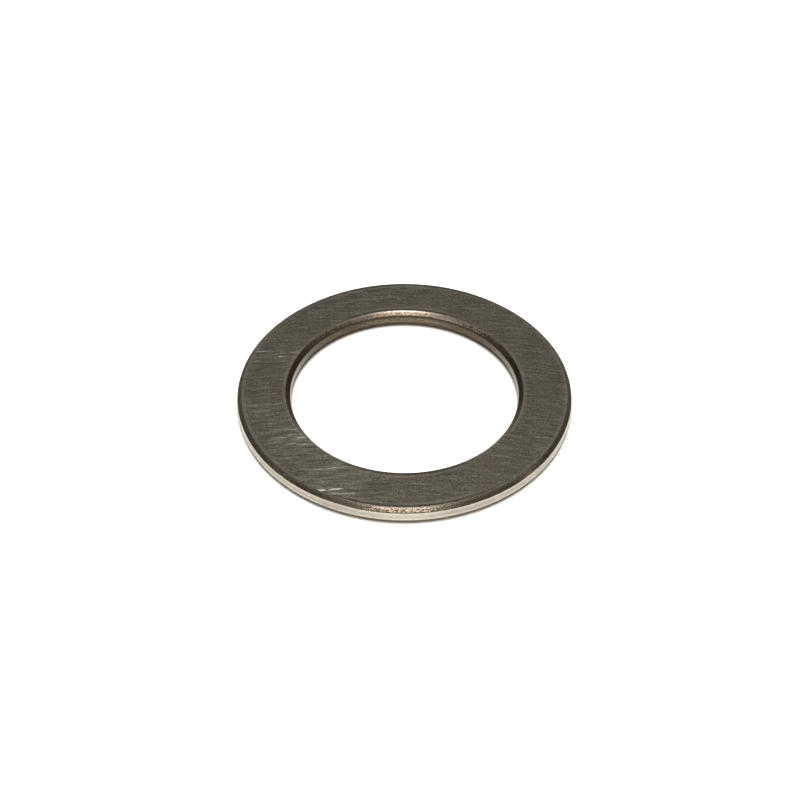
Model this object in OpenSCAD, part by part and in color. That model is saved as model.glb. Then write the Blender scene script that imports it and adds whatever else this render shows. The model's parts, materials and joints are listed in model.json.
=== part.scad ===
// Flat thrust washer: a steel ring with two ground faces, a bore for the shaft
// and a 45 degree chamfer on each of its four edges.
// It lies on its lower face, centred on the Z axis. Sizes are in millimetres.

/* [Ring] */
// Diameter over the rim
outside_d = 60.3; // [56:0.1:90]
// Diameter of the bore that the shaft passes through
bore_d = 41.3; // [20:0.1:50]
// Thickness between the two ground faces
thickness = 3.2; // [2.6:0.1:10]

/* [Edges] */
// Leg of the chamfer between each face and the rim
rim_chamfer = 0.7; // [0.2:0.05:1.2]
// Leg of the chamfer between each face and the bore
bore_chamfer = 0.8; // [0.2:0.05:1.2]

/* [Finish] */
// Colour of the ground steel
steel_colour = "#585348"; // ["#585348":dark steel, "#8A8780":bright steel]
// Segments in one turn of the ring
turn_segments = 180; // [48:12:360]

/* [Hidden] */

rim_r = outside_d / 2;
bore_r = bore_d / 2;
face_outer_r = rim_r - rim_chamfer;
face_inner_r = bore_r + bore_chamfer;

// Cross-section on the right of the axis, anticlockwise from the lower face
module ring_section() {
    polygon([
        [face_inner_r, 0],
        [face_outer_r, 0],
        [rim_r, rim_chamfer],
        [rim_r, thickness - rim_chamfer],
        [face_outer_r, thickness],
        [face_inner_r, thickness],
        [bore_r, thickness - bore_chamfer],
        [bore_r, bore_chamfer]
    ]);
}

module thrust_washer() {
    color(steel_colour)
        rotate_extrude($fn = turn_segments)
            ring_section();
}

thrust_washer();
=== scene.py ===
import json
import math
from typing import NamedTuple

import bmesh
import bpy
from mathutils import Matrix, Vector

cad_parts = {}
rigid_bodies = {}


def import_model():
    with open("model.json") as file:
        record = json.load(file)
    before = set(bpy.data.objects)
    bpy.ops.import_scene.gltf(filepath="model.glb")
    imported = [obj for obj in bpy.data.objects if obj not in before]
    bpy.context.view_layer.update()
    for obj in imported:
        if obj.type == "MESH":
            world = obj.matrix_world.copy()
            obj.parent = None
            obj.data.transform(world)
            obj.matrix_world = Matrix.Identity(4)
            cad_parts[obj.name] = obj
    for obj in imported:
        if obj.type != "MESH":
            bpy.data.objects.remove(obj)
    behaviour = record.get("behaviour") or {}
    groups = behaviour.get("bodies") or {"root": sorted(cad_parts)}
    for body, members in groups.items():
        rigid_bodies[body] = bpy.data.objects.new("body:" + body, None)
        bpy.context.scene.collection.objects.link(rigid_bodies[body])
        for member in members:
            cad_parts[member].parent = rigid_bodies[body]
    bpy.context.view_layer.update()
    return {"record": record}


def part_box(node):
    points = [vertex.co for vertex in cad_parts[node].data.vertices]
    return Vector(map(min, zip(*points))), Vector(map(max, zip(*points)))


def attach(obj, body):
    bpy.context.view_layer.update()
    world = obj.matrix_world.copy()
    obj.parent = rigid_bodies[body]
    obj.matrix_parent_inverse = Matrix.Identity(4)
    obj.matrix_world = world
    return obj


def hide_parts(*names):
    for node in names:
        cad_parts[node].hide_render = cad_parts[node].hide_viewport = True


bl_info = {
    "name": "Thrust Washer",
    "version": (1, 0, 0),
    "blender": (4, 5, 0),
    "location": "3D View > Sidebar > Washer",
    "description": "Models a ground steel thrust washer and the studio that shows it",
    "category": "Mesh",
}

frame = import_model()
WASHER = "thrust_washer"
MM = 0.001
WHITE = (1.0, 1.0, 1.0, 1.0)
LENGTH_DIGITS = 5


def mount_size(name, key):
    """A size of one of the part's mounts, in metres."""
    mount = next(m for m in frame["record"]["mounts"] if m["name"] == name)
    return mount["dims"][key] * MM


def inscribed_radius(low, high):
    """The largest radius about the Z axis that stays inside a box."""
    return min(high.x, high.y, -low.x, -low.y)


LOW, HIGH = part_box(WASHER)
THICKNESS = HIGH.z - LOW.z


def length_property(name, description, default):
    """A length in metres that the user may change."""
    return bpy.props.FloatProperty(
        name=name, description=description, unit="LENGTH", precision=LENGTH_DIGITS, default=default,
    )


def angle_property(name, description, degrees):
    """An angle that the user may change."""
    return bpy.props.FloatProperty(
        name=name, description=description, subtype="ANGLE", default=math.radians(degrees),
    )


def number_property(name, description, default):
    """A number that the user may change."""
    return bpy.props.FloatProperty(name=name, description=description, default=default)


def colour_property(name, description, default):
    """A colour that the user may change."""
    return bpy.props.FloatVectorProperty(
        name=name, description=description, subtype="COLOR", size=3, min=0, max=1, default=default,
    )


class WasherSizes(bpy.types.PropertyGroup):
    """Sizes of the ring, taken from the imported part."""

    rim_radius: length_property("Rim Radius", "Radius over the rim", inscribed_radius(LOW, HIGH))
    bore_radius: length_property("Bore Radius", "Radius of the bore's wall", mount_size("bore", "r_mm"))
    thickness: length_property("Thickness", "Height from the lower to the upper face", THICKNESS)
    rim_chamfer: length_property(
        "Rim Chamfer", "Leg of the chamfers at the rim", (THICKNESS - mount_size("rim", "length_mm")) / 2,
    )
    bore_chamfer: length_property(
        "Bore Chamfer", "Leg of the chamfers at the bore", (THICKNESS - mount_size("bore", "length_mm")) / 2,
    )
    rim_round: length_property(
        "Rim Round", "Setback of the round between a chamfer and the rim", 0.09 * MM,
    )
    bore_round: length_property(
        "Bore Round", "Setback of the round between a chamfer and the bore", 0.1 * MM,
    )
    face_round: length_property(
        "Face Round", "Setback of the round between a chamfer and a face", 0.08 * MM,
    )
    pit_size: length_property("Pit Size", "Width of the pits in the turned chamfers", 0.26 * MM)
    pit_depth: length_property("Pit Depth", "Depth of the pits in the turned chamfers", 0.01 * MM)


class WasherFinish(bpy.types.PropertyGroup):
    """Colours and grain of the steel."""

    ground: colour_property("Ground", "Dark steel of the ground faces", (0.132, 0.12, 0.0885))
    # Also the colour of the painted highlight lines and glints along the edges of the ground faces
    scratch: colour_property("Scratch", "Bright steel in a scratch", (0.8, 0.77, 0.71))
    rim: colour_property("Rim", "Bright steel of the rim's wall", (0.465, 0.422, 0.348))
    bore: colour_property("Bore", "Browned steel of the bore's wall", (0.122, 0.101, 0.067))
    rim_scale: colour_property("Rim Scale", "Dark scale on the rim's chamfers", (0.118, 0.103, 0.067))
    bore_scale: colour_property("Bore Scale", "Brown scale on the bore's chamfers", (0.094, 0.066, 0.039))
    bare: colour_property("Bare", "Bare steel that shows through the scale", (0.46, 0.362, 0.255))
    # Also the colour of the painted highlight at the front and back of the chamfers
    glint_and_burnish: colour_property("Burnish", "Steel rubbed bright at the top of a chamfer", (0.8, 0.645, 0.53))
    edge: colour_property("Edge", "Steel of the rounded edges of the faces", (0.15, 0.132, 0.1))
    # Also the colour of the painted shade along the edges and at the left and right of the ground faces
    edge_shade: colour_property("Dull", "Dull steel along the edges of the ground faces", (0.05, 0.044, 0.031))
    tarnish: colour_property("Tarnish", "Brown tarnish on the ground faces", (0.14, 0.108, 0.084))
    grain_pitch: length_property("Grain Pitch", "Spacing of the grinding lines", 0.3 * MM)
    grain_length: length_property("Grain Length", "Length of a grinding line", 3.8 * MM)
    grain_radius: length_property("Grain Radius", "Radius that the grinding lines curve to", 200 * MM)


class StudioSettings(bpy.types.PropertyGroup):
    """Camera, light and floor."""

    elevation: angle_property("Elevation", "Camera's height above the horizon", 43.5)
    distance: length_property("Distance", "Camera's distance from the lower face's centre", 0.2829)
    lens: number_property("Lens", "Focal length in millimetres on a 36 mm sensor", 69.95)
    aim: bpy.props.FloatVectorProperty(
        name="Aim", description="Point that the camera looks at", subtype="XYZ", unit="LENGTH",
        default=(-0.8 * MM, 0, 0),
    )
    top_power: number_property("Top Power", "Power of the lamp overhead, in watts", 1.6)
    top_elevation: angle_property("Top Elevation", "Height of the lamp overhead above the horizon", 88)
    strip_power: number_property("Strip Power", "Power of the strip lamp behind the camera, in watts", 0.52)
    strip_elevation: angle_property("Strip Elevation", "Height of the strip lamp above the horizon", 47)
    sky_elevation: angle_property(
        "Sky Elevation", "Height above the horizon of the brightest sky, behind the washer", 75,
    )
    sky_low: number_property("Dim Sky", "Brightness of the surroundings near the horizon", 0.05)
    sky_high: number_property("Bright Sky", "Brightness of the surroundings overhead", 0.72)
    floor: colour_property("Floor", "Colour of the floor", (1.0, 1.0, 1.0))
    # Colour of the painted shade on the floor beside the washer
    contact_shade: colour_property(
        "Contact", "Colour of the floor where the washer touches it", (0.34, 0.305, 0.245),
    )
    floor_gain: number_property(
        "Floor Gain", "How much lighter the floor looks than the light that it gives", 1.75,
    )


class Nodes:
    """A node tree that is built one node at a time."""

    def __init__(self, tree):
        self.tree = tree
        tree.nodes.clear()

    def add(self, kind, sockets=None, **settings):
        """Adds a node, with its settings and its input sockets, and returns it."""
        node = self.tree.nodes.new("ShaderNode" + kind)
        for name, value in settings.items():
            setattr(node, name, value)
        for name, value in (sockets or {}).items():
            self.put(node.inputs[name], value)
        return node

    def put(self, socket, value):
        """Links a socket to another node's output, or sets its value."""
        if isinstance(value, bpy.types.NodeSocket):
            self.tree.links.new(value, socket)
        else:
            socket.default_value = value

    def maths(self, operation, *values):
        """One step of arithmetic."""
        node = self.add("Math", operation=operation)
        for socket, value in zip(node.inputs, values):
            self.put(socket, value)
        return node.outputs["Value"]

    def place(self):
        """The surface's place on the piece."""
        return self.add("TexCoord").outputs["Object"]

    def split(self, vector):
        """The X, Y and Z of a vector."""
        return self.add("SeparateXYZ", {"Vector": vector}).outputs

    def join(self, x, y, z):
        """A vector from its X, Y and Z."""
        return self.add("CombineXYZ", {"X": x, "Y": y, "Z": z}).outputs["Vector"]

    def length(self, vector):
        """The length of a vector."""
        return self.add("VectorMath", {0: vector}, operation="LENGTH").outputs["Value"]

    def stretched(self, vector, lengths, middle=(0, 0, 0), turn=0.0):
        """A place measured in the given lengths from a middle, on axes turned about Z."""
        mapping = self.add("Mapping", {"Vector": vector}, vector_type="TEXTURE")
        mapping.inputs["Location"].default_value = middle
        mapping.inputs["Rotation"].default_value = (0, 0, turn)
        mapping.inputs["Scale"].default_value = lengths
        return mapping.outputs["Vector"]

    def noise(self, vector, detail=2.0, roughness=0.5):
        """Soft noise from 0 to 1, about one blotch to each unit of length."""
        sockets = {"Vector": vector, "Scale": 1.0, "Detail": detail, "Roughness": roughness}
        return self.add("TexNoise", sockets).outputs["Fac"]

    def ramp(self, value, low, high, to_low=0.0, to_high=1.0):
        """A value that goes from one level to another, and stays level beyond."""
        sockets = {
            "Value": value, "From Min": low, "From Max": high, "To Min": to_low, "To Max": to_high,
        }
        return self.add("MapRange", sockets).outputs["Result"]

    def blend(self, factor, first, second):
        """A colour between two others."""
        node = self.add("Mix", data_type="RGBA")
        for name, value in (("Factor_Float", factor), ("A_Color", first), ("B_Color", second)):
            socket = next(s for s in node.inputs if s.identifier == name)
            self.put(socket, value)
        return next(s for s in node.outputs if s.identifier == "Result_Color")

    def shades(self, factor, colour, dark, light):
        """A colour between a darker and a lighter shade of itself."""
        return self.blend(factor, opaque(lighter(colour, dark)), opaque(lighter(colour, light)))

    def bump(self, height, depth):
        """A normal that follows a height from 0 to 1, which is depth metres high."""
        return self.add("Bump", {"Height": height, "Distance": depth, "Strength": 1.0}).outputs["Normal"]


def opaque(colour):
    """A colour with its alpha."""
    return (*colour, 1.0)


def lighter(colour, factor):
    """A colour made lighter or darker."""
    return tuple(min(1.0, c * factor) for c in colour)


# Turn of the glints from along the lines to across them, in whole turns
QUARTER_TURN = 0.25


def finish_metal(nodes, colour, roughness, normal, streak=0.0, tint=WHITE):
    """Ends a tree with a metal shader, whose glints may streak across the lines that run round the axis."""
    shader = nodes.add("BsdfPrincipled", {"Base Color": colour, "Roughness": roughness, "Normal": normal})
    shader.inputs["Metallic"].default_value = 1.0
    shader.inputs["Specular Tint"].default_value = tint
    if streak:
        around = nodes.add("Tangent", direction_type="RADIAL", axis="Z")
        nodes.put(shader.inputs["Tangent"], around.outputs["Tangent"])
        shader.inputs["Anisotropic"].default_value = streak
        shader.inputs["Anisotropic Rotation"].default_value = QUARTER_TURN
    nodes.add("OutputMaterial", {"Surface": shader.outputs["BSDF"]})


def new_material(name):
    """A new material and its empty tree."""
    material = bpy.data.materials.new(name)
    material.use_nodes = True
    return material, Nodes(material.node_tree)


def arched_place(nodes, radius):
    """A place whose X runs along the curved grinding lines and whose Y runs across them."""
    x, y, z = nodes.split(nodes.place())
    rise = nodes.maths("DIVIDE", nodes.maths("MULTIPLY", x, x), 2 * radius)
    return nodes.join(x, nodes.maths("ADD", y, rise), z)


def distance_from_axis(nodes):
    """How far a place lies from the ring's axis."""
    x, y, _ = nodes.split(nodes.place())
    return nodes.length(nodes.join(x, y, 0.0))


def height_from_middle(nodes, sizes):
    """How far above or below the ring's middle a place lies."""
    _, _, height = nodes.split(nodes.place())
    return away(nodes, height, sizes.thickness / 2)


def inset_from_edge(nodes, sizes):
    """How far a place of the face lies inside the nearer of its two edges."""
    radius = distance_from_axis(nodes)
    outer = nodes.maths("SUBTRACT", sizes.rim_radius - sizes.rim_chamfer, radius)
    inner = nodes.maths("SUBTRACT", radius, sizes.bore_radius + sizes.bore_chamfer)
    return nodes.maths("MINIMUM", outer, inner)


def edge_run(nodes):
    """How far the ring's edges run along the grinding lines at a place: 0 across them, 1 along them."""
    _, y, _ = nodes.split(nodes.place())
    return nodes.maths("DIVIDE", nodes.maths("ABSOLUTE", y), distance_from_axis(nodes))


def away(nodes, value, level):
    """How far a value is from a level."""
    return nodes.maths("ABSOLUTE", nodes.maths("SUBTRACT", value, level))


def patch_mask(nodes, patches, height, full=1.0):
    """How far a place lies inside soft patches, each with its middle, half sizes, turn and strength."""
    total = 0.0
    for (x, y), (half_length, half_width), turn, strength in patches:
        local = nodes.stretched(nodes.place(), (half_length, half_width, MM), (x, y, height), turn)
        nearness = nodes.add("TexGradient", {"Vector": local}, gradient_type="SPHERICAL").outputs["Fac"]
        shape = nodes.ramp(nearness, 0.0, full)
        total = nodes.maths("MULTIPLY_ADD", shape, strength, total)
    return total


def round_patches(glint_spots):
    """Round patches from their middles and radii in millimetres and their strengths."""
    return [((x * MM, y * MM), (radius * MM, radius * MM), 0.0, strength) for x, y, radius, strength in glint_spots]


# Detail of the plainest and the richest noise
PLAIN_DETAIL = 1.0
RICH_DETAIL = 3.0
# Levels between which most of a noise lies
NOISE_SPAN = (0.3, 0.7)

# Scratches on the upper face: middle x and y and length in millimetres, turn in degrees, brightness
SCRATCHES = [
    (-14.6, -25.55, 2.4, 4, 1.0),
    (-14.2, -25.5, 2.2, 4, 0.8),
    (-11.7, -25.2, 3.0, 5, 0.5),
    (-13.0, -25.4, 6.4, 5, 0.2),
    (-12.6, -26.35, 3.4, 2, 0.3),
    (-10.1, -26.25, 3.0, 2, 0.26),
    (-8.9, -26.2, 1.2, 2, 0.24),
    (-14.0, -20.55, 3.6, 4, 0.22),
    (-11.6, -20.15, 4.0, 8, 0.24),
    (-19.6, -10.8, 3.2, 3, 0.26),
    (-17.8, -12.9, 2.6, 4, 0.34),
    (-17.6, -14.6, 3.0, 5, 0.22),
    (-19.2, -12.1, 4.6, 4, 0.18),
    (-27.3, -4.9, 3.8, 2, 0.2),
    (-22.5, 8.3, 2.2, 4, 0.34),
    (-20.1, 9.4, 3.0, 4, 0.22),
    (-26.3, 9.7, 3.2, 2, 0.25),
    (-27.1, 7.0, 2.2, 0, 0.2),
    (15.8, -17.3, 3.2, -5, 0.1),
    (23.9, -12.8, 4.2, -1, 0.14),
    (19.8, -12.8, 2.0, 4, 0.1),
    (-24.0, -7.2, 2.8, 3, 0.14),
    (-21.5, -12.9, 4.0, 2, 0.18),
    (-19.6, -14.4, 3.2, 5, 0.18),
]
SCRATCH_HALF_WIDTH = 0.15 * MM
SCRATCH_FULL = 0.5
# Gaps that break a scratch into dashes: their size and turn, and how bright it is in and between them
GAP_SIZE = (1.0 * MM, 0.14 * MM, MM)
GAP_TURN = math.radians(4)
GAP_LEVELS = (0.34, 0.62)
GAP_BRIGHTNESS = (0.35, 1.9)

# Worn patches of the upper face: middle x and y and radius in millimetres, and how worn they are
WORN_PATCHES = [
    (-12.5, -22.5, 8.0, 1.0),
    (-19.0, -13.0, 7.0, 1.0),
    (-25.5, -5.0, 6.0, 0.7),
    (-23.0, 8.5, 7.0, 0.5),
]
# Streaks of the faces: their size against the grinding lines, and how bright they are, worn and not
STREAK_LENGTH = 0.8
STREAK_SPACING = 0.6
STREAK_LEVELS = (0.46, 0.74)
WORN_STREAK = 0.24
PLAIN_STREAK = 0.05

# Grinding lines and specks of the faces: their sizes, and how much each adds to the face's tone
GRAIN_ROUGHNESS = 0.6
CROSS_SPACING = 1.5
CROSS_TURN = math.radians(-4)
BROAD_LENGTH = 3
BROAD_SPACING = 5
FACE_SPECK_SIZE = (0.28 * MM, 0.36 * MM, MM)
FINE_SHARE = 0.28
CROSS_SHARE = 0.22
BROAD_SHARE = 0.08
SPECK_SHARE = 0.42
GRAIN_DEPTH = 0.01 * MM

# Tones of the faces, and the clouds of tarnish on them
GROUND_LEVELS = (0.39, 0.63)
GROUND_CURVE = 1.5
GROUND_SHADES = (0.56, 1.88)
TARNISH_SIZE = (4 * MM, 3 * MM, MM)
TARNISH_LEVELS = (0.42, 0.6)
TARNISH_MOST = 0.34
GROUND_ROUGHNESS = (0.36, 0.5)
BRIGHT_MARKS = (0.3, 1.0)
MARK_ROUGHNESS = 0.2

# Edges of the faces: painted highlight lines inside them and a painted shade along them where they run along
# the grinding lines, and a painted glint where they run across them
ALONG_GRAIN = (0.82, 0.97)
ACROSS_GRAIN = (0.9, 0.35)
# A painted highlight line inside the edges, and a painted glint at the edges
GLINT_LINE_INSET = 0.82 * MM
GLINT_LINE_HALF = 0.3 * MM
GLINT_LINE_MOST = 0.09
GLINT_EDGE = 0.8 * MM
GLINT_MOST = 0.12
# Painted shade along the edges, and at the left and right of the faces
FACE_SHADE_EDGE = 0.56 * MM
FACE_SHADE_FULL = 0.336 * MM
FACE_SHADE_MOST = 0.7
SIDE_SHADE_RUN = (0.8, 0.2)
SIDE_SHADE_MOST = 0.1


def scratch_mask(nodes, thickness):
    """How bright the scratches make a place of the upper face."""
    patches = []
    for x, y, length, turn, brightness in SCRATCHES:
        half_sizes = (length / 2 * MM, (1 + brightness) * SCRATCH_HALF_WIDTH)
        patches.append(((x * MM, y * MM), half_sizes, math.radians(turn), brightness))
    gaps = nodes.noise(nodes.stretched(nodes.place(), GAP_SIZE, turn=GAP_TURN), detail=PLAIN_DETAIL)
    broken = nodes.ramp(gaps, *GAP_LEVELS, *GAP_BRIGHTNESS)
    return nodes.maths("MULTIPLY", patch_mask(nodes, patches, thickness, SCRATCH_FULL), broken)


def streak_mask(nodes, finish, grain, thickness):
    """How bright the streaks between the grinding lines make a place, most where the upper face is worn."""
    size = (STREAK_LENGTH * finish.grain_length, STREAK_SPACING * finish.grain_pitch, MM)
    streaks = nodes.noise(nodes.stretched(grain, size), detail=PLAIN_DETAIL)
    wear = patch_mask(nodes, round_patches(WORN_PATCHES), thickness)
    brightness = nodes.maths("MULTIPLY_ADD", wear, WORN_STREAK, PLAIN_STREAK)
    return nodes.maths("MULTIPLY", nodes.ramp(streaks, *STREAK_LEVELS), brightness)


def grinding_lines(nodes, finish, grain):
    """The height of a ground face at a place, and that of its fine lines alone."""
    pitch = finish.grain_pitch
    length = finish.grain_length
    fine = nodes.noise(nodes.stretched(grain, (length, pitch, MM)), roughness=GRAIN_ROUGHNESS)
    cross = nodes.noise(nodes.stretched(grain, (length, CROSS_SPACING * pitch, MM), turn=CROSS_TURN))
    broad = nodes.noise(nodes.stretched(grain, (BROAD_LENGTH * length, BROAD_SPACING * pitch, MM)))
    specks = nodes.noise(nodes.stretched(nodes.place(), FACE_SPECK_SIZE), detail=PLAIN_DETAIL)
    height = nodes.maths("MULTIPLY", fine, FINE_SHARE)
    height = nodes.maths("MULTIPLY_ADD", cross, CROSS_SHARE, height)
    height = nodes.maths("MULTIPLY_ADD", specks, SPECK_SHARE, height)
    height = nodes.maths("MULTIPLY_ADD", broad, BROAD_SHARE, height)
    return height, fine


def ground_steel(finish, sizes):
    """The ground faces: dark steel with straight grinding lines and a few bright scratches, with painted
    highlights and a painted shade along their edges and a painted shade at their left and right.
    """
    material, nodes = new_material("ground_steel")
    grain = arched_place(nodes, finish.grain_radius)
    height, fine = grinding_lines(nodes, finish, grain)
    tone = nodes.maths("POWER", nodes.ramp(height, *GROUND_LEVELS), GROUND_CURVE)
    colour = nodes.shades(tone, finish.ground, *GROUND_SHADES)
    clouds = nodes.noise(nodes.stretched(nodes.place(), TARNISH_SIZE))
    tarnish = nodes.ramp(clouds, *TARNISH_LEVELS, 0.0, TARNISH_MOST)
    colour = nodes.blend(tarnish, colour, opaque(finish.tarnish))
    inset = inset_from_edge(nodes, sizes)
    run = edge_run(nodes)
    along = nodes.ramp(run, *ALONG_GRAIN)
    across = nodes.ramp(run, *ACROSS_GRAIN)
    streaks = streak_mask(nodes, finish, grain, sizes.thickness)
    marks_and_glints = nodes.maths("ADD", streaks, scratch_mask(nodes, sizes.thickness))
    # A painted highlight line inside the edges where they run along the grinding lines, and a painted glint
    # at the edges where they run across them
    glint_and_burnish = nodes.ramp(away(nodes, inset, GLINT_LINE_INSET), GLINT_LINE_HALF, 0.0, 0.0, GLINT_LINE_MOST)
    marks_and_glints = nodes.maths("MULTIPLY_ADD", glint_and_burnish, along, marks_and_glints)
    glint = nodes.ramp(inset, GLINT_EDGE, 0.0, 0.0, GLINT_MOST)
    marks_and_glints = nodes.maths("MULTIPLY_ADD", glint, across, marks_and_glints)
    # Scratches and streaks, together with the painted highlight lines and glints, take the scratch colour
    colour = nodes.blend(nodes.ramp(marks_and_glints, 0.0, 1.0), colour, opaque(finish.scratch))
    # Painted shade along the edges where they run along the grinding lines, and at the left and right of the
    # faces
    edge_and_side_shade = nodes.maths("MULTIPLY", nodes.ramp(inset, FACE_SHADE_EDGE, FACE_SHADE_FULL, 0.0, FACE_SHADE_MOST), along)
    edge_and_side_shade = nodes.maths("MAXIMUM", edge_and_side_shade, nodes.ramp(run, *SIDE_SHADE_RUN, 0.0, SIDE_SHADE_MOST))
    colour = nodes.blend(edge_and_side_shade, colour, opaque(finish.edge_shade))
    roughness = nodes.ramp(fine, *NOISE_SPAN, *GROUND_ROUGHNESS)
    roughness = nodes.maths("MULTIPLY_ADD", nodes.ramp(marks_and_glints, *BRIGHT_MARKS), MARK_ROUGHNESS, roughness)
    finish_metal(nodes, colour, roughness, nodes.bump(height, GRAIN_DEPTH))
    return material


# How far the glints of the two walls streak
WALL_STREAK = 0.9

# Lines and stains of the rim's wall, and a painted highlight along its edges: their sizes, and how much each
# adds to its tone
RIM_LINE_SIZE = (9 * MM, 9 * MM, 0.2 * MM)
RIM_LINE_SHARE = 0.45
RIM_LINE_DEPTH = 0.006 * MM
RIM_STAIN_SIZE = (1.2 * MM, 1.2 * MM, 0.5 * MM)
RIM_STAIN_SHARE = 0.35
RIM_SHEEN_HEIGHTS = (0.1 * MM, 0.8 * MM)
RIM_SHEEN_SHARE = 0.2
# Painted highlight on the rim's wall at its front and back and at its left and right, and how much the tone
# is lowered everywhere first
SHEEN_ALONG = (0.96, 1.0)
SHEEN_ACROSS = (0.6, 0.3)
SHEEN_LIFT = 0.1
SHEEN_BASE_DROP = 0.045
RIM_LEVELS = (0.33, 0.63)
RIM_SHADES = (0.76, 1.36)
RIM_ROUGHNESS = (0.3, 0.4)


def turned_rim(finish, sizes):
    """The rim's wall: bright steel with fine lines round it, with a painted highlight along its top and
    bottom edges, at its front and back and at its left and right.
    """
    material, nodes = new_material("turned_rim")
    lines = nodes.noise(nodes.stretched(nodes.place(), RIM_LINE_SIZE))
    stains = nodes.noise(nodes.stretched(nodes.place(), RIM_STAIN_SIZE), detail=RICH_DETAIL)
    # A painted highlight along the top and bottom edges of the wall
    edge = nodes.ramp(height_from_middle(nodes, sizes), *RIM_SHEEN_HEIGHTS)
    tone = nodes.maths("MULTIPLY", lines, RIM_LINE_SHARE)
    tone = nodes.maths("MULTIPLY_ADD", stains, RIM_STAIN_SHARE, tone)
    tone = nodes.maths("MULTIPLY_ADD", edge, RIM_SHEEN_SHARE, tone)
    run = edge_run(nodes)
    # A painted highlight at the front and back and at the left and right of the wall
    painted_sheen = nodes.maths("MAXIMUM", nodes.ramp(run, *SHEEN_ALONG), nodes.ramp(run, *SHEEN_ACROSS))
    tone = nodes.maths("MULTIPLY_ADD", painted_sheen, SHEEN_LIFT, nodes.maths("SUBTRACT", tone, SHEEN_BASE_DROP))
    colour = nodes.shades(nodes.ramp(tone, *RIM_LEVELS), finish.rim, *RIM_SHADES)
    roughness = nodes.ramp(lines, *NOISE_SPAN, *RIM_ROUGHNESS)
    finish_metal(nodes, colour, roughness, nodes.bump(lines, RIM_LINE_DEPTH), WALL_STREAK)
    return material


# Lines and grit of the bore's wall: their sizes, and how much each adds to its tone
BORE_LINE_SIZE = (7 * MM, 7 * MM, 0.2 * MM)
BORE_LINE_SHARE = 0.5
BORE_GRIT_SIZE = (0.35 * MM, 0.35 * MM, 0.35 * MM)
BORE_GRIT_SHARE = 0.5
BORE_DEPTH = 0.012 * MM
BORE_LEVELS = (0.38, 0.62)
BORE_SHADES = (0.4, 1.6)
BORE_ROUGHNESS = (0.16, 0.28)
# Painted shade on the bore's wall: along its upper edge, from some height above the middle on, and at its
# quarters
BORE_EDGE_SHADE_FROM = 0.3 * MM
BORE_EDGE_SHADE_FULL = 0.6 * MM
BORE_EDGE_SHADE_MOST = 0.92
QUARTER_SHADE_ALONG = (0.99, 0.87)
QUARTER_SHADE_ACROSS = (0.3, 0.68)
QUARTER_SHADE_MOST = 0.48
DEEPEST_BORE_SHADE = 0.28


def browned_bore(finish, sizes):
    """The bore's wall: browned steel with lines round it, and a painted shade along its upper edge and at its
    quarters.
    """
    material, nodes = new_material("browned_bore")
    lines = nodes.noise(nodes.stretched(nodes.place(), BORE_LINE_SIZE))
    grit = nodes.noise(nodes.stretched(nodes.place(), BORE_GRIT_SIZE))
    tone = nodes.maths("MULTIPLY", lines, BORE_LINE_SHARE)
    tone = nodes.maths("MULTIPLY_ADD", grit, BORE_GRIT_SHARE, tone)
    colour = nodes.shades(nodes.ramp(tone, *BORE_LEVELS), finish.bore, *BORE_SHADES)
    _, _, height = nodes.split(nodes.place())
    middle = sizes.thickness / 2
    # Painted shade along the upper edge and at the quarters of the wall
    edge = nodes.ramp(height, middle + BORE_EDGE_SHADE_FROM, middle + BORE_EDGE_SHADE_FULL, 0.0, BORE_EDGE_SHADE_MOST)
    run = edge_run(nodes)
    quarter_shade = nodes.maths("MINIMUM", nodes.ramp(run, *QUARTER_SHADE_ALONG), nodes.ramp(run, *QUARTER_SHADE_ACROSS))
    painted_bore_shade = nodes.maths("MAXIMUM", edge, nodes.maths("MULTIPLY", quarter_shade, QUARTER_SHADE_MOST))
    colour = nodes.blend(painted_bore_shade, colour, opaque(lighter(finish.bore, DEEPEST_BORE_SHADE)))
    roughness = nodes.ramp(grit, *NOISE_SPAN, *BORE_ROUGHNESS)
    finish_metal(nodes, colour, roughness, nodes.bump(tone, BORE_DEPTH), WALL_STREAK)
    return material


class ChamferWear(NamedTuple):
    """How a chamfer's scale is worn, and where its painted highlight lies."""

    # Heights above the wall between which the wear sets in
    worn_from: tuple
    # Levels of the specks between which bare steel comes to show
    bare_specks: tuple
    # How far the chamfer runs along the grinding lines where its painted highlight begins to be strongest,
    # and where it is
    glint_run: tuple
    # How bare it is there between the specks, a painted highlight
    glint_bareness: float
    # Roughness of the bare steel
    smooth: float
    # Tint of the glints that are seen along the chamfer
    tint: tuple


RIM_WEAR = ChamferWear(
    worn_from=(-0.1 * MM, 0.0),
    bare_specks=(0.42, 0.59),
    glint_run=(0.975, 1.0),
    glint_bareness=0.2,
    smooth=0.23,
    tint=(0.4, 0.41, 0.44, 1.0),
)
BORE_WEAR = ChamferWear(
    worn_from=(0.05 * MM, 0.22 * MM),
    bare_specks=(0.38, 0.56),
    glint_run=(0.93, 0.99),
    glint_bareness=0.3,
    smooth=0.275,
    tint=(0.46, 0.48, 0.5, 1.0),
)
# Round painted highlights on the chamfers: middle x and y and radius in millimetres, and how bright they are
GLINT_SPOTS = [
    (8.6, 19.2, 5.0, 1.6),
    (13.3, 16.1, 3.0, 0.6),
    (-7.4, 19.6, 4.0, 0.3),
    (21.1, -21.1, 4.0, 1.1),
    (-21.1, -21.1, 4.0, 0.6),
    (-11.4, -27.6, 3.0, 0.5),
]
SPOT_SPECKS = (0.36, 0.62)
# Specks of the chamfers
SPECK_SIZE = (0.4 * MM, 0.4 * MM, 0.2 * MM)
SPECK_DEPTH = 0.012 * MM
# Where the specks of bare steel show, by how far the chamfer runs along the grinding lines: they fade out at
# the left and right, a painted shade there
BARE_AND_SHADE_RUN = (0.3, 0.95)
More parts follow.
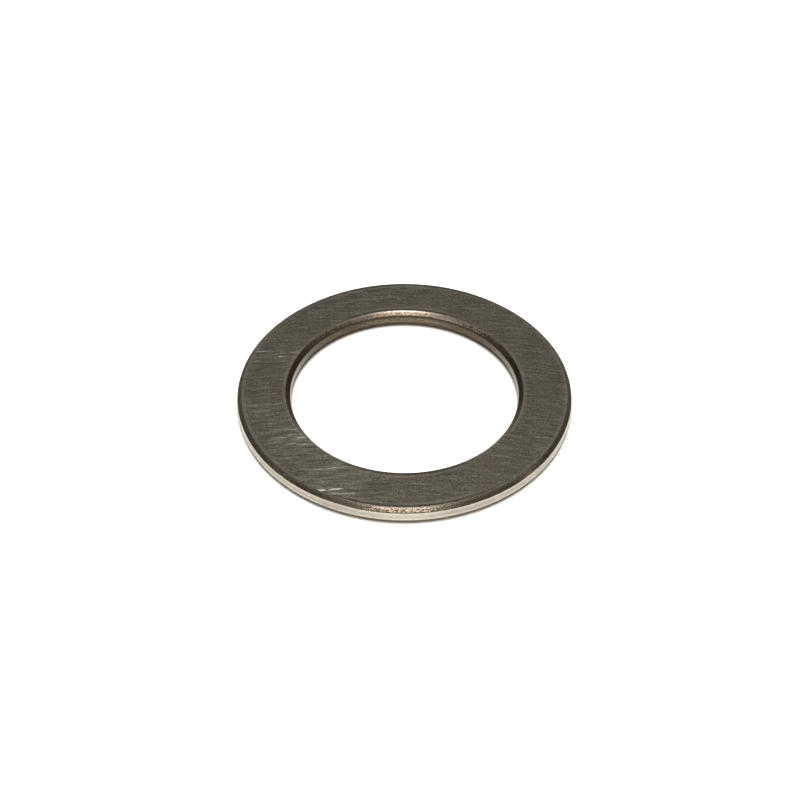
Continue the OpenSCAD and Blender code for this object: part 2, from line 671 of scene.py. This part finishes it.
# Rubbed tops of the chamfers, shown as a painted highlight: their depths below the face, and how strong the
# painted highlight is along the grinding lines
RUBBED_DEPTH = 0.3 * MM
RUBBED_FULL = 0.15 * MM
GLINT_BAND_RUN = (0.5, 0.92)
LEAST_GLINT_BAND_RUN = 0.03
RUBBED_SPECKS = (0.36, 0.52)
LEAST_RUBBED_SPECKS = (0.3, 0.5)
SCALE_ROUGHNESS = 0.44


def chamfer_finish(name, finish, sizes, dark, leg, wear):
    """A chamfer: dark scale over turned steel, bare in specks from some height above the wall on, with a
    painted highlight at its top and at its front and back, and a painted shade at its left and right.
    """
    material, nodes = new_material(name)
    specks = nodes.noise(nodes.stretched(nodes.place(), SPECK_SIZE))
    above_wall = nodes.maths("SUBTRACT", height_from_middle(nodes, sizes), sizes.thickness / 2 - leg)
    run = edge_run(nodes)
    worn = nodes.ramp(above_wall, *wear.worn_from)
    bareness = nodes.maths("MULTIPLY", nodes.ramp(specks, *wear.bare_specks), worn)
    # Bare specks fade out towards the left and right, a painted shade there
    bareness = nodes.maths("MULTIPLY", bareness, nodes.ramp(run, *BARE_AND_SHADE_RUN))
    # Bare steel at the front and back, a painted highlight
    glint_least = nodes.maths("MULTIPLY", worn, nodes.ramp(run, *wear.glint_run, 0.0, wear.glint_bareness))
    bareness = nodes.maths("MAXIMUM", bareness, glint_least)
    # The top band, a painted highlight at the front and back
    rubbed_glint = nodes.ramp(above_wall, leg - RUBBED_DEPTH, leg - RUBBED_FULL)
    rubbed_glint = nodes.maths("MULTIPLY", rubbed_glint, nodes.ramp(run, *GLINT_BAND_RUN, LEAST_GLINT_BAND_RUN, 1.0))
    glint_least = nodes.ramp(run, *wear.glint_run, *LEAST_RUBBED_SPECKS)
    rubbed_glint = nodes.maths("MULTIPLY", rubbed_glint, nodes.ramp(specks, *RUBBED_SPECKS, glint_least, 1.0))
    colour = nodes.blend(bareness, opaque(dark), opaque(finish.bare))
    colour = nodes.blend(rubbed_glint, colour, opaque(finish.glint_and_burnish))
    # Round painted highlights, in the colour of rubbed steel
    glint_spots = patch_mask(nodes, round_patches(GLINT_SPOTS), sizes.thickness - leg / 2)
    glint_spots = nodes.maths("MULTIPLY", glint_spots, nodes.ramp(specks, *SPOT_SPECKS))
    colour = nodes.blend(nodes.maths("MULTIPLY", glint_spots, worn), colour, opaque(finish.glint_and_burnish))
    brightest = nodes.maths("MAXIMUM", bareness, rubbed_glint)
    roughness = nodes.ramp(brightest, 0.0, 1.0, SCALE_ROUGHNESS, wear.smooth)
    finish_metal(nodes, colour, roughness, nodes.bump(specks, SPECK_DEPTH), tint=wear.tint)
    return material


def scaled_rim_chamfer(finish, sizes):
    """The chamfers at the rim."""
    return chamfer_finish(
        "scaled_rim_chamfer", finish, sizes, finish.rim_scale, sizes.rim_chamfer, RIM_WEAR,
    )


def scaled_bore_chamfer(finish, sizes):
    """The chamfers at the bore, which keep their scale beside the wall."""
    return chamfer_finish(
        "scaled_bore_chamfer", finish, sizes, finish.bore_scale, sizes.bore_chamfer, BORE_WEAR,
    )


# Finish of the rounded edges
EDGE_LEVELS = (0.35, 0.65)
EDGE_SHADES = (0.8, 1.2)
EDGE_ROUGHNESS = (0.32, 0.22)
EDGE_DEPTH = 0.004 * MM


def rounded_edge(finish, sizes):
    """The rounded edges of the faces."""
    material, nodes = new_material("rounded_edge")
    specks = nodes.noise(nodes.stretched(nodes.place(), SPECK_SIZE))
    colour = nodes.shades(nodes.ramp(specks, *EDGE_LEVELS), finish.edge, *EDGE_SHADES)
    roughness = nodes.ramp(specks, *EDGE_LEVELS, *EDGE_ROUGHNESS)
    finish_metal(nodes, colour, roughness, nodes.bump(specks, EDGE_DEPTH), tint=RIM_WEAR.tint)
    return material


# Steps of the model
SECTORS = 24
SECTOR_STEPS = 50
EDGE_CUTS = 4
CHAMFER_CUTS = 5
WALL_CUTS = 5
FACE_CUTS = 3
MERGE_DISTANCE = 0.001 * MM
ROUND_PROFILE = 0.5
LONG_EDGE = 0.2 * MM
PIT_OCTAVES = 2
# Level of the pits' texture that stays at the surface, so that all pits go inwards
PIT_SURFACE = 1.0

# How upright a normal is at the bounds between the walls, the chamfers, their rounded edges and the faces
WALL_NORMAL = 0.02
CHAMFER_NORMAL = 0.66
EDGE_NORMAL = 0.74
FLAT_NORMAL = 0.998


def pick_vertices(ring, wanted):
    """Selects the vertices whose place passes a test, in edit mode."""
    mesh = bmesh.from_edit_mesh(ring.data)
    for vertex in mesh.verts:
        vertex.select_set(wanted(vertex.co))
    mesh.select_flush_mode()
    bmesh.update_edit_mesh(ring.data)


def pick_edges(ring, wanted):
    """Selects the edges whose span from end to end passes a test, in edit mode."""
    mesh = bmesh.from_edit_mesh(ring.data)
    for edge in mesh.edges:
        first, second = (v.co for v in edge.verts)
        edge.select_set(wanted(second - first))
    bmesh.update_edit_mesh(ring.data)


def pick_faces(ring, wanted):
    """Selects the faces whose middle and normal pass a test, in edit mode."""
    mesh = bmesh.from_edit_mesh(ring.data)
    for face in mesh.faces:
        face.select_set(wanted(face.calc_center_median(), face.normal))
    bmesh.update_edit_mesh(ring.data)


def add_section(sizes):
    """Adds the ring's cross-section, as a plane that stands on the X axis."""
    bpy.ops.object.select_all(action="DESELECT")
    middle = (sizes.rim_radius + sizes.bore_radius) / 2
    bpy.ops.mesh.primitive_plane_add(
        size=1, location=(middle, 0, sizes.thickness / 2), rotation=(math.pi / 2, 0, 0),
    )
    ring = bpy.context.object
    ring.name = "washer_ring"
    ring.data.name = "washer_ring"
    ring.scale = (sizes.rim_radius - sizes.bore_radius, sizes.thickness, 1)
    bpy.ops.object.transform_apply(location=True, rotation=True, scale=True)
    return ring


def chamfer_section(ring, sizes):
    """Bevels the section's corners, rounds their edges and cuts the long edges into short ones."""
    middle = (sizes.rim_radius + sizes.bore_radius) / 2
    half = sizes.thickness / 2
    bpy.ops.mesh.select_mode(type="VERT")
    for leg, wall, setback in (
        (sizes.rim_chamfer, sizes.rim_radius, sizes.rim_round),
        (sizes.bore_chamfer, sizes.bore_radius, sizes.bore_round),
    ):
        pick_vertices(ring, lambda place: (place.x > middle) == (wall > middle))
        bpy.ops.mesh.bevel(offset=leg, segments=1, affect="VERTICES")
        pick_vertices(ring, lambda place: abs(place.x - wall) < MERGE_DISTANCE)
        bpy.ops.mesh.bevel(offset=setback, segments=EDGE_CUTS, profile=ROUND_PROFILE, affect="VERTICES")
    pick_vertices(ring, lambda place: abs(place.z - half) > half - MERGE_DISTANCE)
    bpy.ops.mesh.bevel(offset=sizes.face_round, segments=EDGE_CUTS, profile=ROUND_PROFILE, affect="VERTICES")
    bpy.ops.mesh.select_all(action="SELECT")
    bpy.ops.mesh.delete(type="ONLY_FACE")
    bpy.ops.mesh.select_mode(type="EDGE")
    for cuts, wanted in (
        (WALL_CUTS, lambda span: abs(span.z) > MM),
        (FACE_CUTS, lambda span: abs(span.x) > MM),
        (CHAMFER_CUTS, lambda span: span.length < MM and min(abs(span.x), abs(span.z)) > LONG_EDGE),
    ):
        pick_edges(ring, wanted)
        bpy.ops.mesh.subdivide(number_cuts=cuts)


def spin_section(ring):
    """Spins the section into a sector of the ring, and the sector into the whole ring."""
    sector = 2 * math.pi / SECTORS
    bpy.ops.mesh.select_mode(type="VERT")
    bpy.ops.mesh.select_all(action="SELECT")
    bpy.ops.mesh.spin(steps=SECTOR_STEPS, angle=sector, center=(0, 0, 0), axis=(0, 0, 1))
    bpy.ops.mesh.select_all(action="SELECT")
    bpy.ops.mesh.spin(
        steps=SECTORS - 1, angle=2 * math.pi - sector, dupli=True, center=(0, 0, 0), axis=(0, 0, 1),
    )
    bpy.ops.mesh.select_all(action="SELECT")
    bpy.ops.mesh.remove_doubles(threshold=MERGE_DISTANCE)
    bpy.ops.mesh.normals_make_consistent(inside=False)


def zone_tests(sizes):
    """For each finish, the test that a face of its zone passes."""
    middle = (sizes.rim_radius + sizes.bore_radius) / 2

    def tilt(low, high):
        return lambda normal: low <= abs(normal.z) < high

    def outward(place):
        return place.xy.length > middle

    upright = tilt(0, WALL_NORMAL)
    sloping = tilt(WALL_NORMAL, EDGE_NORMAL)
    rounded = tilt(EDGE_NORMAL, FLAT_NORMAL)
    return [
        (ground_steel, lambda place, normal: abs(normal.z) >= FLAT_NORMAL),
        (turned_rim, lambda place, normal: upright(normal) and outward(place)),
        (browned_bore, lambda place, normal: upright(normal) and not outward(place)),
        (scaled_rim_chamfer, lambda place, normal: sloping(normal) and outward(place)),
        (scaled_bore_chamfer, lambda place, normal: sloping(normal) and not outward(place)),
        (rounded_edge, lambda place, normal: rounded(normal)),
    ]


def dress_zones(ring, sizes, finish):
    """Gives each zone of the ring its finish, with a sharp edge round it."""
    bpy.ops.mesh.select_mode(type="FACE")
    for index, (make, wanted) in enumerate(zone_tests(sizes)):
        ring.data.materials.append(make(finish, sizes))
        pick_faces(ring, wanted)
        ring.active_material_index = index
        bpy.ops.object.material_slot_assign()
        bpy.ops.mesh.region_to_loop()
        bpy.ops.mesh.mark_sharp()
        bpy.ops.mesh.select_mode(type="FACE")


def pit_chamfers(ring, sizes):
    """Roughens the chamfers with fine pits, and leaves their edges clean."""
    bpy.ops.object.mode_set(mode="EDIT")
    pick_faces(ring, lambda place, normal: CHAMFER_NORMAL < abs(normal.z) < EDGE_NORMAL)
    bpy.ops.mesh.select_mode(type="VERT")
    bpy.ops.mesh.select_less()
    bpy.ops.object.vertex_group_add()
    bpy.ops.object.vertex_group_assign()
    bpy.ops.object.mode_set(mode="OBJECT")
    pits = bpy.data.textures.new("chamfer_pits", "CLOUDS")
    pits.noise_scale = sizes.pit_size
    pits.noise_depth = PIT_OCTAVES
    bpy.ops.object.modifier_add(type="DISPLACE")
    displace = ring.modifiers[-1]
    displace.texture = pits
    displace.texture_coords = "LOCAL"
    displace.vertex_group = ring.vertex_groups[-1].name
    displace.mid_level = PIT_SURFACE
    displace.strength = sizes.pit_depth
    bpy.ops.object.modifier_apply(modifier=displace.name)


class WASHER_OT_turn_ring(bpy.types.Operator):
    """Models the washer's ring from its section and gives each surface its finish"""

    bl_idname = "washer.turn_ring"
    bl_label = "Turn Ring"

    def execute(self, context):
        sizes = context.scene.washer_sizes
        finish = context.scene.washer_finish
        ring = add_section(sizes)
        bpy.ops.object.mode_set(mode="EDIT")
        chamfer_section(ring, sizes)
        spin_section(ring)
        dress_zones(ring, sizes, finish)
        bpy.ops.object.mode_set(mode="OBJECT")
        bpy.ops.object.shade_smooth()
        pit_chamfers(ring, sizes)
        if len(ring.data.polygons) < SECTORS * SECTOR_STEPS:
            raise RuntimeError("the section wasn't spun into a ring")
        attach(ring, "root")
        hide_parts(WASHER)
        return {"FINISHED"}


# The floor, and how far from the washer it goes over into plain white
FLOOR_SIZE = 200
FAR_FLOOR = (0.2, 0.6)
# The shade where the washer touches the floor: its reach, and how open the shaded and the plain floor are
CONTACT_REACH = 1.4 * MM
CONTACT_SAMPLES = 4
CONTACT_RISE = (0.24, 0.62)
# The floor in the bore: the radii between which it begins, and how much deeper its shade is
BORE_FLOOR = (26 * MM, 24 * MM)
BORE_CONTACT = 0.65
BORE_SHADE = 0.1


def add_floor(studio):
    """Adds a wide pale floor that keeps the washer's shadow, and has a painted shade beside the washer."""
    bpy.ops.object.select_all(action="DESELECT")
    bpy.ops.mesh.primitive_plane_add(size=FLOOR_SIZE)
    floor = bpy.context.object
    floor.name = "floor"
    floor.data.name = "floor"
    material, nodes = new_material("pale_floor")
    path = nodes.add("LightPath").outputs
    seen = nodes.maths("MAXIMUM", path["Is Camera Ray"], path["Is Glossy Ray"])
    seen = nodes.maths("MAXIMUM", seen, path["Is Transmission Ray"])
    looks = opaque(c * studio.floor_gain for c in studio.floor)
    distance = nodes.length(nodes.place())
    inside = nodes.ramp(distance, *BORE_FLOOR)
    occlusion = nodes.add("AmbientOcclusion", {"Distance": CONTACT_REACH}, samples=CONTACT_SAMPLES)
    openness = nodes.maths("MULTIPLY_ADD", inside, -BORE_SHADE, occlusion.outputs["AO"])
    contact_shade_colour = nodes.blend(inside, opaque(studio.contact_shade), opaque(lighter(studio.contact_shade, BORE_CONTACT)))
    shaded = nodes.blend(nodes.ramp(openness, *CONTACT_RISE), contact_shade_colour, looks)
    plain = nodes.blend(seen, opaque(studio.floor), looks)
    matt = nodes.add("BsdfDiffuse", {"Color": nodes.blend(path["Is Camera Ray"], plain, shaded)})
    far = nodes.maths("MULTIPLY", nodes.ramp(distance, *FAR_FLOOR), seen)
    glow = nodes.add("Emission", {"Color": opaque(studio.floor), "Strength": 1.0})
    sweep = nodes.add("MixShader", {0: far, 1: matt.outputs["BSDF"], 2: glow.outputs["Emission"]})
    nodes.add("OutputMaterial", {"Surface": sweep.outputs["Shader"]})
    floor.data.materials.append(material)


# Nearness to the brightest direction, as a cosine, between which the surroundings brighten
SKY_RISE = (0.5, 0.82)


def add_sky(studio):
    """Makes surroundings that are dim near the horizon and bright overhead and behind the washer."""
    world = bpy.data.worlds.new("studio")
    bpy.context.scene.world = world
    world.use_nodes = True
    nodes = Nodes(world.node_tree)
    brightest = Vector((0, math.cos(studio.sky_elevation), math.sin(studio.sky_elevation)))
    direction = nodes.add("TexCoord").outputs["Generated"]
    nearness = nodes.add("VectorMath", {0: direction, 1: brightest}, operation="DOT_PRODUCT").outputs["Value"]
    level = nodes.ramp(nearness, *SKY_RISE, studio.sky_low, studio.sky_high)
    sky = nodes.add("Background", {"Color": WHITE, "Strength": level})
    nodes.add("OutputWorld", {"Surface": sky.outputs["Background"]})


# Distance and sizes of the lamps, in metres
LAMP_DISTANCE = 0.6
TOP_LAMP_SIZE = (0.26, 0.26)
STRIP_LAMP_SIZE = (0.33, 0.09)
# Nearest thing that the camera sees, in metres
CLIP_START = 0.01


def from_camera_side(elevation, distance):
    """A place on the camera's side of the washer."""
    return Vector((0, -math.cos(elevation), math.sin(elevation))) * distance


def add_lamp(name, elevation, size, power):
    """Adds a soft lamp on the camera's side, which faces the washer."""
    place = from_camera_side(elevation, LAMP_DISTANCE)
    bpy.ops.object.light_add(type="AREA", location=place)
    lamp = bpy.context.object
    lamp.name = name
    lamp.rotation_euler = place.to_track_quat("Z", "Y").to_euler()
    width, depth = size
    lamp.data.shape = "RECTANGLE"
    lamp.data.size = width
    lamp.data.size_y = depth
    lamp.data.energy = power


def add_camera(studio):
    """Adds the camera and makes it the scene's own."""
    place = from_camera_side(studio.elevation, studio.distance)
    bpy.ops.object.camera_add(location=place + Vector(studio.aim))
    camera = bpy.context.object
    camera.rotation_euler = place.to_track_quat("Z", "Y").to_euler()
    camera.data.lens = studio.lens
    camera.data.clip_start = CLIP_START
    bpy.context.scene.camera = camera


class WASHER_OT_set_stage(bpy.types.Operator):
    """Adds the floor, the surroundings, the lamps and the camera"""

    bl_idname = "washer.set_stage"
    bl_label = "Set Stage"

    def execute(self, context):
        studio = context.scene.washer_studio
        add_floor(studio)
        add_sky(studio)
        add_lamp("top_lamp", studio.top_elevation, TOP_LAMP_SIZE, studio.top_power)
        add_lamp("strip_lamp", studio.strip_elevation, STRIP_LAMP_SIZE, studio.strip_power)
        add_camera(studio)
        context.scene.view_settings.view_transform = "Standard"
        return {"FINISHED"}


class VIEW3D_PT_thrust_washer(bpy.types.Panel):
    """Lists the washer's steps and settings"""

    bl_label = "Thrust Washer"
    bl_space_type = "VIEW_3D"
    bl_region_type = "UI"
    bl_category = "Washer"

    def draw(self, context):
        layout = self.layout
        for operator, settings in (
            (WASHER_OT_turn_ring, (context.scene.washer_sizes, context.scene.washer_finish)),
            (WASHER_OT_set_stage, (context.scene.washer_studio,)),
        ):
            layout.operator(operator.bl_idname)
            for group in settings:
                for name in group.__annotations__:
                    layout.prop(group, name)


CLASSES = (
    WasherSizes,
    WasherFinish,
    StudioSettings,
    WASHER_OT_turn_ring,
    WASHER_OT_set_stage,
    VIEW3D_PT_thrust_washer,
)
SETTINGS = {
    "washer_sizes": WasherSizes,
    "washer_finish": WasherFinish,
    "washer_studio": StudioSettings,
}


def register():
    for cls in CLASSES:
        bpy.utils.register_class(cls)
    for name, group in SETTINGS.items():
        setattr(bpy.types.Scene, name, bpy.props.PointerProperty(type=group))


def unregister():
    for name in SETTINGS:
        delattr(bpy.types.Scene, name)
    for cls in reversed(CLASSES):
        bpy.utils.unregister_class(cls)


def main():
    register()
    bpy.ops.washer.turn_ring()
    bpy.ops.washer.set_stage()


if __name__ == "__main__":
    main()
